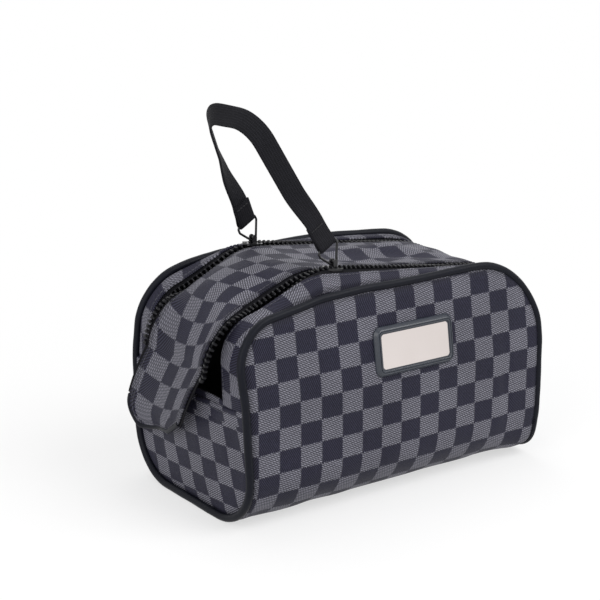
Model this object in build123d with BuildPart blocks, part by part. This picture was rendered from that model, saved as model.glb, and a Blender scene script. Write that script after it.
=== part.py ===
"""A zipped toiletry bag with a lid between two zippers and a webbing strap on both sliders.

Millimetres. X runs along the bag, with the free tongue of the lid at the negative end. The
front wall with the nameplate faces negative Y. Z is up, and the bag rests on Z = 0.
"""

import os
from math import atan, atan2, cos, hypot, radians, sin, tan

from build123d import *

os.makedirs("parts", exist_ok=True)

# Body: the wrap, and the outlines that its top edge and the zippers follow
body_length = 282.0         # between the centres of the piping at the two ends
body_depth = 158.0          # over the outsides of the two walls
bottom_radius = 44.0
bend_height = 100.0         # the walls stand upright up to here, and lean in above
top_inset = 11.0            # how far a wall has leaned in at the crown
crown_x = -66.0             # the sliders pull the top up beside this place
wall_shoulder = 152.0       # corners of the top edge's outline: left, crown and right
wall_crown = 168.0
wall_right = 166.0
zip_shoulder = 150.0        # the same corners of the outline that the zippers follow
zip_crown = 181.5
zip_right = 158.0
left_radius = 38.0          # less on the flap where the drop from its shoulder to the tongue is shorter
crown_radius = 20.0
right_radius = 57.0         # less where the drop from the zipper to the hem is shorter

# Sheet materials
canvas = 1.8
foam = 2.0
lining_sheet = 0.6
tape = 0.6
layer_gap = 0.1             # between sheets that lie on each other
seam_gap = 0.3              # between panels and the piping sewn between them
foam_setback = 4.0          # foam and lining stop this far inside the edge of the wrap

# Piping
piping_radius = 3.0
piping_skin = 0.7
cord_gap = 0.1
piping_bend = 60.0          # radius where the piping follows the bend of a wall

# End panels
hem_height = 97.0           # top edge of the end panels
hem_depth = 12.0
hem_sheet = 1.0
lining_drop = 4.0           # the lining's ends stop this far under the hem's edge

# Zippers
zip_setback = 23.5          # from a wall's top edge at the crown to the centre of its chain
zip_band = 14.0             # between the canvas edges on the two sides of a chain
tape_hidden = 6.0           # width of tape under the canvas
tooth_pitch = 4.2
tooth_height = 3.2
tooth_root = 3.9            # distances from the centre of the chain
tooth_tip = 0.55
tooth_narrow = 1.5
tooth_wide = 2.3
stop_length = 3.4

# Lid
fold_x = -76.0              # the flap folds here
fold_gap = 0.4
flap_stand = 7.5            # the hanging flap stands this far out from the bag's end
slant_drop = 32.0           # the hanging tongue begins to slant to the rear this far under the shoulder
tongue_slant = 31.0         # degrees
tongue_front_low = 62.0     # heights where its front and rear edges turn into the tip
tongue_rear_low = 60.0
tongue_tip = [(12.0, 50.0), (60.0, 44.0)]
tongue_radius = 8.0
facing_sheet = 1.0
binding_width = 1.3
flap_tape_end = 70.0        # height where the tapes of the flap end

# Sliders and their crowns
slider_front_x = -40.6
slider_rear_x = -54.0
slider_length = 14.0
slider_width = 11.4
slider_plate = 1.6
slider_flange = 1.4
slider_corner = 2.8
slide_gap = 0.25            # between the slider and the teeth or tape in it
divider_width = 0.5
divider_length = 3.0
pin_radius = 1.0
pin_height = 4.4            # pin axis above the slider's top plate
lug_gap = 2.6
lug_sheet = 1.2
lug_width = 4.0

# Bails and strap, laid out along the pull of the strap
wire_radius = 0.9
pin_clearance = 0.3
bail_foot = 2.1             # half width at the pin
bail_shoulder = 10.5        # heights above the pin
bar_height = 15.0
bail_corner = 2.0
strap_lean = 28.0           # degrees from upright towards the free end of the lid
strap_width = 16.0
strap_sheet = 1.8
strap_play = 0.4            # beside the strap inside a bail
eye_gap = 0.3
strap_top = 126.5
strap_top_half = 27.0
strap_bend = 24.0
strap_tail = 18.0           # length of webbing folded back and sewn

# Nameplate
frame_length = 73.5
frame_height = 37.5
frame_depth = 4.0
frame_corner = 6.5
frame_border = 4.75
frame_bevel = 1.4
plate_rebate = 1.0          # how far the plate reaches under the frame's lip
plate_sheet = 2.8
plate_gap = 0.15
plate_x = 11.5
plate_rise = 19.0           # centre of the nameplate above the bend of the wall
prong_x = 26.0
prong_length = 3.0
prong_sheet = 0.8
prong_foot = 3.4
backing_length = 62.0
backing_height = 38.0
backing_sheet = 0.8
window_margin = 2.0

# Shapes that cut or trim reach past what they cut
spare = 1.0
far = 2 * body_length

half_length = body_length / 2
half_depth = body_depth / 2
zip_y = half_depth - top_inset - zip_setback
lean = atan(top_inset / (wall_crown - bend_height))
strip_edge = zip_y + zip_band / 2
lid_edge = zip_y - zip_band / 2
wall_margin = piping_radius + seam_gap
inside_piping = 2 * piping_radius + seam_gap
strip_base = hem_height + seam_gap
corner_radii = [left_radius, crown_radius, min(right_radius, zip_right - strip_base)]


def wall_y(height, inset):
    """Distance from the middle plane of the face that lies inset deep in a wall."""
    bend = bend_height - inset * tan(lean / 2)
    return half_depth - inset - max(0.0, height - bend) * tan(lean)


def over_the_top(shoulder, crown, right, half=half_length, left_base=strip_base, right_base=strip_base):
    """Corners of a path up the left end, over the top and down the right end, seen from the front."""
    slope = (crown - shoulder) / (crown_x + half_length)
    left = crown - slope * (crown_x + half)
    top = [(-half, left), (crown_x, crown), (half_length, right)]
    return [(-half, left_base), *top, (half_length, right_base)]


def parallel(points, depth):
    """The same path moved inwards by a depth, with mitred corners."""
    moved = []
    for k, (x, z) in enumerate(points):
        normals = []
        for a, b in ((k - 1, k), (k, k + 1)):
            if a < 0 or b >= len(points):
                continue
            dx = points[b][0] - points[a][0]
            dz = points[b][1] - points[a][1]
            size = hypot(dx, dz)
            normals.append((dz / size, -dx / size))
        nx = sum(n[0] for n in normals)
        nz = sum(n[1] for n in normals)
        scale = depth * len(normals) / (nx * nx + nz * nz)
        moved.append((x + nx * scale, z + nz * scale))
    return moved


def path_at(points, depth, radii=corner_radii):
    """The rounded path at a depth, as one wire in its own plane."""
    with BuildLine() as path:
        FilletPolyline(*parallel(points, depth), radius=[r - depth for r in radii])
    return path.wire()


def band(points, outer, inner, radii=corner_radii):
    """The face between two parallels of a path."""
    with BuildSketch() as face:
        with BuildLine():
            upper = FilletPolyline(*parallel(points, outer), radius=[r - outer for r in radii])
            lower = FilletPolyline(*parallel(points, inner), radius=[r - inner for r in radii])
            Line(upper @ 0, lower @ 0)
            Line(upper @ 1, lower @ 1)
        make_face()
    return face.sketch


def body_profile(inset):
    """Closed outline of the body across its length, with its walls drawn on above their top edges."""
    top = zip_crown + half_depth
    bend = bend_height - inset * tan(lean / 2)
    with BuildSketch() as profile:
        with BuildLine():
            Polyline(
                (-wall_y(top, inset), top),
                (-wall_y(0, inset), bend),
                (-wall_y(0, inset), inset),
                (wall_y(0, inset), inset),
                (wall_y(0, inset), bend),
                (wall_y(top, inset), top),
                close=True,
            )
        make_face()
        fillet(profile.vertices().group_by(Axis.Y)[0], bottom_radius - inset)
    return profile.sketch


def wall_outline(margin):
    """The front view of the walls, a margin inside the middle of the piping."""
    path = over_the_top(wall_shoulder, wall_crown, wall_right, left_base=-spare, right_base=-spare)
    points = parallel(path, margin)
    with BuildSketch() as outline:
        with BuildLine():
            upper = FilletPolyline(*points, radius=[r - margin for r in corner_radii])
            Line(upper @ 0, upper @ 1)
        make_face()
    return outline.sketch


# The nameplate's own plane on the leaning front wall
plate_height = bend_height + plate_rise
plate_plane = Plane(
    origin=(plate_x, -wall_y(plate_height, 0), plate_height),
    x_dir=(1, 0, 0),
    z_dir=(0, -cos(lean), sin(lean)),
)
prong_y = frame_height / 2 - frame_border / 2
prong_places = GridLocations(2 * prong_x, 2 * prong_y, 2, 2)

# Wrap: front wall, rounded bottom and rear wall, with slots for the nameplate's prongs
with BuildPart() as body_wrap:
    with BuildSketch(Plane.YZ):
        add(body_profile(0))
        add(body_profile(canvas), mode=Mode.SUBTRACT)
    extrude(amount=half_length - wall_margin, both=True)
    with BuildSketch(Plane.XZ):
        add(wall_outline(wall_margin))
    extrude(amount=half_depth + spare, both=True, mode=Mode.INTERSECT)
    with BuildSketch(plate_plane.offset(spare)):
        with prong_places:
            Rectangle(prong_length + 2 * layer_gap, prong_sheet + 2 * layer_gap)
    extrude(amount=-canvas - 2 * spare, mode=Mode.SUBTRACT)
body_wrap.part.label = "body_wrap"

# Foam between the wrap and the lining, open behind the nameplate
foam_face = canvas + layer_gap
foam_margin = wall_margin + foam_setback
with BuildPart() as foam_interlining:
    with BuildSketch(Plane.YZ):
        add(body_profile(foam_face))
        add(body_profile(foam_face + foam), mode=Mode.SUBTRACT)
    extrude(amount=half_length - foam_margin, both=True)
    with BuildSketch(Plane.XZ):
        add(wall_outline(foam_margin))
    extrude(amount=half_depth + spare, both=True, mode=Mode.INTERSECT)
    with BuildSketch(plate_plane):
        Rectangle(backing_length + 2 * window_margin, backing_height + 2 * window_margin)
    extrude(amount=-foam_face - foam - spare, mode=Mode.SUBTRACT)
foam_interlining.part.label = "foam_interlining"

# Lining: a thin open box inside the foam, whose ends stop under the hems
lining_face = foam_face + foam + layer_gap
lining_end = half_length - canvas - hem_sheet - 2 * layer_gap
with BuildPart() as lining:
    with BuildSketch(Plane.YZ):
        add(body_profile(lining_face))
    extrude(amount=lining_end, both=True)
    with BuildSketch(Plane.YZ):
        add(body_profile(lining_face + lining_sheet))
    extrude(amount=lining_end - lining_sheet, both=True, mode=Mode.SUBTRACT)
    with BuildSketch(Plane.XZ):
        add(wall_outline(canvas + hem_sheet + 2 * layer_gap))
    extrude(amount=half_depth + spare, both=True, mode=Mode.INTERSECT)
    with BuildSketch(Plane.YZ):
        add(body_profile(lining_face + lining_sheet))
        with Locations((0, hem_height - lining_drop - far / 2)):
            Rectangle(far, far, mode=Mode.SUBTRACT)
    extrude(amount=half_length, both=True, mode=Mode.SUBTRACT)
    with BuildSketch(Plane.XZ):
        add(wall_outline(0))
        add(wall_outline(foam_margin), mode=Mode.SUBTRACT)
        with Locations((0, hem_height - lining_drop - far / 2)):
            Rectangle(far, far, mode=Mode.SUBTRACT)
    extrude(amount=half_depth + spare, both=True, mode=Mode.SUBTRACT)
lining.part.label = "lining"

# Piping: one closed run up each wall's ends, along its top edge and round the bottom of each end
bend_low = bend_height - piping_radius * tan(lean / 2)
corner_heights = [(-half_length, wall_shoulder), (crown_x, wall_crown), (half_length, wall_right)]
piping_low = wall_y(0, piping_radius)
front_run = [(-half_length, -piping_low, bend_low)]
front_run += [(x, -wall_y(z, piping_radius), z) for x, z in corner_heights]
front_run += [(half_length, -piping_low, bend_low), (half_length, -piping_low, piping_radius)]
rear_run = [(x, -y, z) for x, y, z in reversed(front_run)]
left_foot = [(-half_length, piping_low, piping_radius), (-half_length, -piping_low, piping_radius)]
foot_radius = bottom_radius - piping_radius
front_radii = [piping_bend] + corner_radii + [piping_bend, foot_radius]
piping_radii = front_radii + front_radii[::-1] + [foot_radius, foot_radius]

with BuildLine() as piping_path:
    FilletPolyline(*front_run, *rear_run, *left_foot, radius=piping_radii, close=True)
piping_wire = piping_path.wire()
piping_start = Plane(origin=piping_wire @ 0, z_dir=piping_wire % 0)

with BuildPart() as piping_cover:
    with BuildSketch(piping_start):
        Circle(piping_radius)
        Circle(piping_radius - piping_skin, mode=Mode.SUBTRACT)
    sweep(path=piping_wire)
piping_cover.part.label = "piping_cover"

with BuildPart() as piping_cord:
    with BuildSketch(piping_start):
        Circle(piping_radius - piping_skin - cord_gap)
    sweep(path=piping_wire)
piping_cord.part.label = "piping_cord"

# End panels, inside the piping's U, up to the hem
with BuildPart() as end_panel_left:
    with BuildSketch(Plane.YZ.offset(-half_length)):
        add(body_profile(inside_piping))
        with Locations((0, hem_height - layer_gap - hem_sheet + far / 2)):
            Rectangle(far, far, mode=Mode.SUBTRACT)
    extrude(amount=canvas)
end_panel_left.part.label = "end_panel_left"

with BuildPart() as end_panel_right:
    mirror(end_panel_left.part, about=Plane.YZ)
end_panel_right.part.label = "end_panel_right"

# Hems: a folded strip over the top edge of each end panel
with BuildPart() as end_hem_left:
    with BuildSketch(Plane.XZ):
        with Locations((-half_length + canvas / 2, hem_height - hem_depth / 2)):
            Rectangle(canvas + 2 * (layer_gap + hem_sheet), hem_depth)
        with Locations((-half_length + canvas / 2, hem_height - hem_sheet - far / 2)):
            Rectangle(canvas + 2 * layer_gap, far, mode=Mode.SUBTRACT)
    extrude(amount=wall_y(hem_height, inside_piping), both=True)
end_hem_left.part.label = "end_hem_left"

with BuildPart() as end_hem_right:
    mirror(end_hem_left.part, about=Plane.YZ)
end_hem_right.part.label = "end_hem_right"

# Side strips: ruled from the piping up to the zipper, over the top and down both ends
wall_top_y = wall_y(wall_crown, 0)


def strip_path(y):
    """Corners of the strip's outer face where it is y away from the middle plane."""
    share = (y - strip_edge) / (wall_top_y - strip_edge)
    shoulder = zip_shoulder + share * (wall_shoulder - zip_shoulder)
    crown = zip_crown + share * (wall_crown - zip_crown)
    right = zip_right + share * (wall_right - zip_right)
    return over_the_top(shoulder, crown, right)


with BuildPart() as side_strip_front:
    for y in (strip_edge, half_depth):
        with BuildSketch(Plane.XZ.offset(y)):
            add(band(strip_path(y), 0, canvas))
    loft(ruled=True)
    with BuildSketch(Plane.YZ):
        add(body_profile(inside_piping))
    extrude(amount=half_length + spare, both=True, mode=Mode.INTERSECT)
side_strip_front.part.label = "side_strip_front"

with BuildPart() as side_strip_rear:
    mirror(side_strip_front.part, about=Plane.XZ)
side_strip_rear.part.label = "side_strip_rear"

# Lid: one canvas strip, cut at the fold into the sewn panel and the free flap
lid_path = over_the_top(zip_shoulder, zip_crown, zip_right)
flap_half = half_length + flap_stand
tongue_start = zip_shoulder - slant_drop
flap_path = over_the_top(zip_shoulder, zip_crown, zip_right, half=flap_half, left_base=tongue_start)
flap_shoulder = flap_path[1][1]
flap_turn = atan2(crown_x + flap_half, zip_crown - flap_shoulder)
flap_fit = (flap_shoulder - tongue_start - spare) / tan(flap_turn / 2)
flap_radii = [min(left_radius, flap_fit), *corner_radii[1:]]
fold_right = fold_x + fold_gap / 2
fold_left = fold_x - fold_gap / 2

with BuildPart() as lid_panel:
    with BuildSketch(Plane.XZ):
        add(band(lid_path, 0, canvas))
    extrude(amount=lid_edge, both=True)
    split(bisect_by=Plane.YZ.offset(fold_right), keep=Keep.TOP)
lid_panel.part.label = "lid_panel"


def slanted(y, height):
    """Where a line down the tongue that starts at y has got to at a height."""
    return (y + (tongue_start - height) * tan(radians(tongue_slant)), height)


def tongue_outline():
    """The hanging tongue seen from its end."""
    with BuildSketch() as outline:
        with BuildLine():
            Polyline(
                (-lid_edge, tongue_start),
                slanted(-lid_edge, tongue_front_low),
                *tongue_tip,
                slanted(lid_edge, tongue_rear_low),
                (lid_edge, tongue_start),
                close=True,
            )
        make_face()
        fillet(outline.vertices().group_by(Axis.Y)[:-1], tongue_radius)
    return outline.sketch


with BuildPart() as lid_flap:
    with BuildSketch(Plane.XZ):
        add(band(flap_path, 0, canvas, flap_radii))
    extrude(amount=lid_edge, both=True)
    split(bisect_by=Plane.YZ.offset(fold_left), keep=Keep.BOTTOM)
    with BuildSketch(Plane.YZ.offset(-flap_half)):
        add(tongue_outline())
    extrude(amount=canvas)
lid_flap.part.label = "lid_flap"

with BuildPart() as tongue_facing:
    with BuildSketch(Plane.YZ.offset(-flap_half + canvas + layer_gap)):
        add(tongue_outline())
        offset(amount=-tape_hidden / cos(radians(tongue_slant)))
    extrude(amount=facing_sheet)
tongue_facing.part.label = "tongue_facing"

# Binding round the tip of the tongue, between the ends of the tapes
with BuildPart() as tongue_binding:
    with BuildSketch(Plane.YZ.offset(-flap_half)):
        add(offset(tongue_outline(), amount=layer_gap + binding_width, mode=Mode.PRIVATE))
        add(offset(tongue_outline(), amount=layer_gap, mode=Mode.PRIVATE), mode=Mode.SUBTRACT)
        with Locations((0, flap_tape_end - layer_gap + far / 2)):
            Rectangle(far, far, mode=Mode.SUBTRACT)
    extrude(amount=canvas)
tongue_binding.part.label = "tongue_binding"

# Zipper tapes: each runs from under its canvas edge to the roots of the teeth
tape_face = canvas + layer_gap
chain_depth = tape_face + tape / 2
tape_outer_y = zip_y + tooth_root + layer_gap
tape_inner_y = zip_y - tooth_root - layer_gap
tape_start_y = lid_edge - tape_hidden

with BuildPart() as strip_tape_front:
    for y in (strip_edge, half_depth):
        with BuildSketch(Plane.XZ.offset(y)):
            add(band(strip_path(y), tape_face, tape_face + tape))
    loft(ruled=True)
    split(bisect_by=Plane.XZ.offset(strip_edge + tape_hidden), keep=Keep.BOTTOM)
    with BuildSketch(Plane.XZ.offset(tape_outer_y)):
        add(band(strip_path(strip_edge), tape_face, tape_face + tape))
    extrude(amount=strip_edge - tape_outer_y)
strip_tape_front.part.label = "strip_tape_front"

with BuildPart() as strip_tape_rear:
    mirror(strip_tape_front.part, about=Plane.XZ)
strip_tape_rear.part.label = "strip_tape_rear"

with BuildPart() as lid_tape_front:
    with BuildSketch(Plane.XZ.offset(tape_start_y)):
        add(band(lid_path, tape_face, tape_face + tape))
    extrude(amount=tape_inner_y - tape_start_y)
    split(bisect_by=Plane.YZ.offset(fold_right), keep=Keep.TOP)
lid_tape_front.part.label = "lid_tape_front"

with BuildPart() as lid_tape_rear:
    mirror(lid_tape_front.part, about=Plane.XZ)
lid_tape_rear.part.label = "lid_tape_rear"


def flap_tape(side):
    """The tape along one edge of the flap: side is -1 at the front and 1 at the rear."""
    near = side * tape_start_y
    edge = side * tape_inner_y
    with BuildPart() as strip:
        with BuildSketch(Plane.XZ.offset(-min(near, edge))):
            add(band(flap_path, tape_face, tape_face + tape, flap_radii))
        extrude(amount=-abs(edge - near))
        split(bisect_by=Plane.YZ.offset(fold_left), keep=Keep.BOTTOM)
        with BuildSketch(Plane.YZ.offset(-flap_half + tape_face)):
            with BuildLine():
                Polyline(
                    (near, tongue_start),
                    (edge, tongue_start),
                    slanted(edge, flap_tape_end),
                    slanted(near, flap_tape_end),
                    close=True,
                )
            make_face()
        extrude(amount=tape)
    return strip.part


with BuildPart() as flap_tape_front:
    add(flap_tape(-1))
flap_tape_front.part.label = "flap_tape_front"

with BuildPart() as flap_tape_rear:
    add(flap_tape(1))
flap_tape_rear.part.label = "flap_tape_rear"


# Teeth: each row is a group of separate teeth along the edge of its tape
def chain_plane(path, length, side):
    """The plane at a length along a chain, with X along it, Y across it and Z out of the bag."""
    at = path.position_at(length, position_mode=PositionMode.LENGTH)
    way = path.tangent_at(length, position_mode=PositionMode.LENGTH)
    return Plane(origin=(at.X, side * zip_y, at.Y), x_dir=(way.X, 0, way.Y), z_dir=(-way.Y, 0, way.X))


def teeth_row(path, first, last, side, towards):
    """Teeth along a stretch of a chain, on one zipper, that point towards positive or negative Y."""
    count = int((last - first) // tooth_pitch)
    planes = [chain_plane(path, first + (k + 0.5) * tooth_pitch, side) for k in range(count)]
    with BuildPart() as row:
        with BuildSketch(*planes):
            with BuildLine():
                Polyline(
                    (-tooth_narrow / 2, -towards * tooth_root),
                    (tooth_narrow / 2, -towards * tooth_root),
                    (tooth_wide / 2, -towards * tooth_tip),
                    (-tooth_wide / 2, -towards * tooth_tip),
                    close=True,
                )
            make_face()
        extrude(amount=tooth_height / 2, both=True)
    return row.part


def length_to(path, x):
    """Length along a path up to where its top passes an X."""
    low = 0.0
    high = path.length
    while high - low > layer_gap / 10:
        middle = (low + high) / 2
        if path.position_at(middle, position_mode=PositionMode.LENGTH).X < x:
            low = middle
        else:
            high = middle
    return low


chain_path = path_at(lid_path, chain_depth)
flap_chain = path_at(flap_path, chain_depth, flap_radii)
fold_length = length_to(chain_path, fold_right)
flap_fold_length = length_to(flap_chain, fold_left)

with BuildPart() as strip_teeth_front:
    add(teeth_row(chain_path, 0, chain_path.length, -1, 1))
strip_teeth_front.part.label = "strip_teeth_front"

with BuildPart() as strip_teeth_rear:
    add(teeth_row(chain_path, 0, chain_path.length, 1, -1))
strip_teeth_rear.part.label = "strip_teeth_rear"

with BuildPart() as lid_teeth_front:
    add(teeth_row(chain_path, fold_length, chain_path.length, -1, -1))
lid_teeth_front.part.label = "lid_teeth_front"

with BuildPart() as lid_teeth_rear:
    add(teeth_row(chain_path, fold_length, chain_path.length, 1, 1))
lid_teeth_rear.part.label = "lid_teeth_rear"

with BuildPart() as flap_teeth_front:
    add(teeth_row(flap_chain, stop_length, flap_fold_length, -1, -1))
flap_teeth_front.part.label = "flap_teeth_front"

with BuildPart() as flap_teeth_rear:
    add(teeth_row(flap_chain, stop_length, flap_fold_length, 1, 1))
flap_teeth_rear.part.label = "flap_teeth_rear"

# End stops below the first tooth of each of the flap's rows
with BuildPart() as flap_stops:
    for side in (-1, 1):
        with BuildSketch(chain_plane(flap_chain, stop_length / 2, side)):
            with Locations((0, -side * (tooth_root + tooth_tip) / 2)):
                Rectangle(stop_length - 2 * layer_gap, tooth_root - tooth_tip)
        extrude(amount=tooth_height / 2, both=True)
flap_stops.part.label = "flap_stops"

# Sliders on the straight run of the chains
run_slope = atan((zip_crown - zip_right) / (half_length - crown_x))
run_way = Vector(cos(run_slope), 0, -sin(run_slope))
run_up = Vector(sin(run_slope), 0, cos(run_slope))


def slider_plane(x, side):
    """The plane of a chain's middle at a slider, with X along the chain and Z out of the bag."""
    top = Vector(x, side * zip_y, zip_crown - (x - crown_x) * tan(run_slope))
    return Plane(origin=top - run_up * chain_depth, x_dir=run_way, z_dir=run_up)


front_plane = slider_plane(slider_front_x, -1)
rear_plane = slider_plane(slider_rear_x, 1)
plate_bottom = tooth_height / 2 + slide_gap
plate_top = plate_bottom + slider_plate
pin_front = front_plane.origin + run_up * (plate_top + pin_height)
pin_rear = rear_plane.origin + run_up * (plate_top + pin_height)
pin_way = (pin_rear - pin_front).normalized()
pin_across = pin_way.cross(Vector(0, 0, 1)).normalized()
pin_upright = pin_across.cross(pin_way).normalized()


def slider(plane, pin):
    """One slider: two plates with flanges round the chain, a divider, and a crown with its pin."""
    tape_slot = tape / 2 + slide_gap
    crown_plane = Plane(origin=pin, x_dir=-pin_across, z_dir=pin_way)
    with BuildPart() as body:
        for way in (1, -1):
            with BuildSketch(plane.offset(way * plate_bottom)):
                RectangleRounded(slider_length, slider_width, slider_corner)
            extrude(amount=way * slider_plate)
            with BuildSketch(plane.offset(way * tape_slot)):
                with GridLocations(1, slider_width - slider_flange, 1, 2):
                    Rectangle(slider_length - 2 * slider_corner, slider_flange)
            extrude(amount=way * (plate_bottom - tape_slot))
        with BuildSketch(plane.offset(-plate_bottom)):
            with Locations((-(slider_length - divider_length) / 2 + slider_flange / 2, 0)):
                Rectangle(divider_length, divider_width)
        extrude(amount=2 * plate_bottom)
        with BuildSketch(crown_plane):
            Circle(lug_width / 2)
            with Locations((0, -(pin_height + slider_plate / 2) / 2)):
                Rectangle(lug_width, pin_height + slider_plate / 2)
        extrude(amount=lug_gap / 2 + lug_sheet, both=True)
        with BuildSketch(crown_plane):
            Rectangle(2 * lug_width, 2 * pin_height)
        extrude(amount=lug_gap / 2, both=True, mode=Mode.SUBTRACT)
        with BuildSketch(crown_plane):
            Circle(pin_radius)
        extrude(amount=lug_gap / 2 + lug_sheet, both=True)
    return body.part


with BuildPart() as slider_front:
    add(slider(front_plane, pin_front))
slider_front.part.label = "slider_front"

with BuildPart() as slider_rear:
    add(slider(rear_plane, pin_rear))
slider_rear.part.label = "slider_rear"

# Bails and strap in the plane of the strap's pull, with X from the front pin to the rear pin
pull = pin_upright * cos(radians(strap_lean)) - pin_across * sin(radians(strap_lean))
strap_plane = Plane(origin=(pin_front + pin_rear) * 0.5, x_dir=pin_way, z_dir=pin_way.cross(pull))
pin_half = (pin_rear - pin_front).length / 2
bail_half = strap_width / 2 + strap_play + wire_radius
eye_foot = -(pin_radius + pin_clearance + wire_radius)


def bail(side):
    """One wire bail round its pin, with the strap's bar at the top."""
    plane = Plane(
        origin=strap_plane.from_local_coords(Vector(side * pin_half, 0, 0)),
        x_dir=-strap_plane.z_dir,
        z_dir=pin_way,
    )
    with BuildPart() as wire:
        with BuildLine(plane) as path:
            FilletPolyline(
                (bail_foot, eye_foot),
                (bail_half, bail_shoulder),
                (bail_half, bar_height),
                (-bail_half, bar_height),
                (-bail_half, bail_shoulder),
                (-bail_foot, eye_foot),
                radius=bail_corner,
                close=True,
            )
        ring = path.wire()
        with BuildSketch(Plane(origin=ring @ 0, z_dir=ring % 0)):
            Circle(wire_radius)
        sweep(path=ring)
    return wire.part


with BuildPart() as bail_front:
    add(bail(-1))
bail_front.part.label = "bail_front"

with BuildPart() as bail_rear:
    add(bail(1))
bail_rear.part.label = "bail_rear"

# Strap: an arch of webbing whose ends turn round the bars and are sewn back on the legs
eye_radius = wire_radius + eye_gap
leg_start = bar_height + eye_radius + eye_gap
strap_points = [
    (-pin_half, leg_start),
    (-strap_top_half, strap_top),
    (strap_top_half, strap_top),
    (pin_half, leg_start),
]
leg_length = hypot(pin_half - strap_top_half, strap_top - leg_start)
leg_way = ((pin_half - strap_top_half) / leg_length, (strap_top - leg_start) / leg_length)

with BuildPart() as strap:
    with BuildSketch(strap_plane):
        add(band(strap_points, -strap_sheet / 2, strap_sheet / 2, radii=[strap_bend] * 2))
        for side in (-1, 1):
            inwards = Vector(-side * leg_way[1], -leg_way[0])
            along = Vector(-side * leg_way[0], leg_way[1])
            foot = Vector(side * pin_half, leg_start) + inwards * strap_sheet / 2
            with BuildLine():
                Polyline(
                    foot,
                    foot + inwards * strap_sheet,
                    foot + inwards * strap_sheet + along * strap_tail,
                    foot + along * strap_tail,
                    close=True,
                )
            make_face()
            with Locations((side * pin_half, bar_height)):
                Circle(eye_radius + strap_sheet)
        for side in (-1, 1):
            with Locations((side * pin_half, bar_height)):
                Circle(eye_radius, mode=Mode.SUBTRACT)
    extrude(amount=strap_width / 2, both=True)
strap.part.label = "strap"

# Nameplate: a bevelled frame whose prongs grip a backing plate, over a bare plate
opening_length = frame_length - 2 * frame_border
opening_height = frame_height - 2 * frame_border
rebate_depth = plate_sheet + plate_gap
backing_face = -(canvas + layer_gap)
foot_face = backing_face - backing_sheet - layer_gap

with BuildPart() as nameplate_frame:
    with BuildSketch(plate_plane.offset(layer_gap)):
        RectangleRounded(frame_length, frame_height, frame_corner)
    extrude(amount=frame_depth)
    outwards = Axis(plate_plane.origin, plate_plane.z_dir)
    chamfer(nameplate_frame.faces().sort_by(outwards)[-1].edges(), frame_bevel)
    with BuildSketch(plate_plane.offset(layer_gap)):
        RectangleRounded(opening_length, opening_height, plate_rebate)
    extrude(amount=frame_depth, mode=Mode.SUBTRACT)
    with BuildSketch(plate_plane.offset(layer_gap)):
        Rectangle(opening_length + 2 * plate_rebate, opening_height + 2 * plate_rebate)
    extrude(amount=rebate_depth, mode=Mode.SUBTRACT)
    with BuildSketch(plate_plane.offset(layer_gap)):
        with prong_places:
            Rectangle(prong_length, prong_sheet)
    extrude(amount=foot_face - layer_gap - prong_sheet)
    with BuildSketch(plate_plane.offset(foot_face)):
        with GridLocations(2 * prong_x, 2 * prong_y - prong_foot + prong_sheet, 2, 2):
            Rectangle(prong_length, prong_foot)
    extrude(amount=-prong_sheet)
nameplate_frame.part.label = "nameplate_frame"

with BuildPart() as nameplate_plate:
    with BuildSketch(plate_plane.offset(layer_gap)):
        Rectangle(
            opening_length + 2 * (plate_rebate - plate_gap),
            opening_height + 2 * (plate_rebate - plate_gap),
        )
    extrude(amount=plate_sheet)
nameplate_plate.part.label = "nameplate_plate"

with BuildPart() as nameplate_backing:
    with BuildSketch(plate_plane.offset(backing_face)):
        Rectangle(backing_length, backing_height)
        with prong_places:
            Rectangle(prong_length + 2 * layer_gap, prong_sheet + 2 * layer_gap, mode=Mode.SUBTRACT)
    extrude(amount=-backing_sheet)
nameplate_backing.part.label = "nameplate_backing"

pieces = [
    body_wrap, foam_interlining, lining, piping_cover, piping_cord,
    end_panel_left, end_panel_right, end_hem_left, end_hem_right,
    side_strip_front, side_strip_rear, lid_panel, lid_flap, tongue_facing, tongue_binding,
    strip_tape_front, strip_tape_rear, lid_tape_front, lid_tape_rear, flap_tape_front, flap_tape_rear,
    strip_teeth_front, strip_teeth_rear, lid_teeth_front, lid_teeth_rear,
    flap_teeth_front, flap_teeth_rear, flap_stops,
    slider_front, slider_rear, bail_front, bail_rear, strap,
    nameplate_frame, nameplate_plate, nameplate_backing,
]
for piece in pieces:
    export_step(piece.part, f"parts/{piece.part.label}.step")

fold_height = zip_crown - (crown_x - fold_x) * (zip_crown - zip_shoulder) / (crown_x + half_length)
print("fold", fold_x, fold_height)
print("slide way", tuple(run_way))
print("front pin", tuple(pin_front), "rear pin", tuple(pin_rear))
print("pin way", tuple(pin_way))
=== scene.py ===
"""The looks of a zipped toiletry bag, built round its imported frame.

Lengths are millimetres up to the meshes, which are in metres like the frame. X runs along
the bag, the free tongue of the lid is at the negative end, the front wall with the nameplate
faces negative Y, and the bag rests on Z = 0.
"""

from math import atan, ceil, cos, hypot, pi, radians, sin, tan

import bpy
import numpy as np
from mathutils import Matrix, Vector, noise


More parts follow.
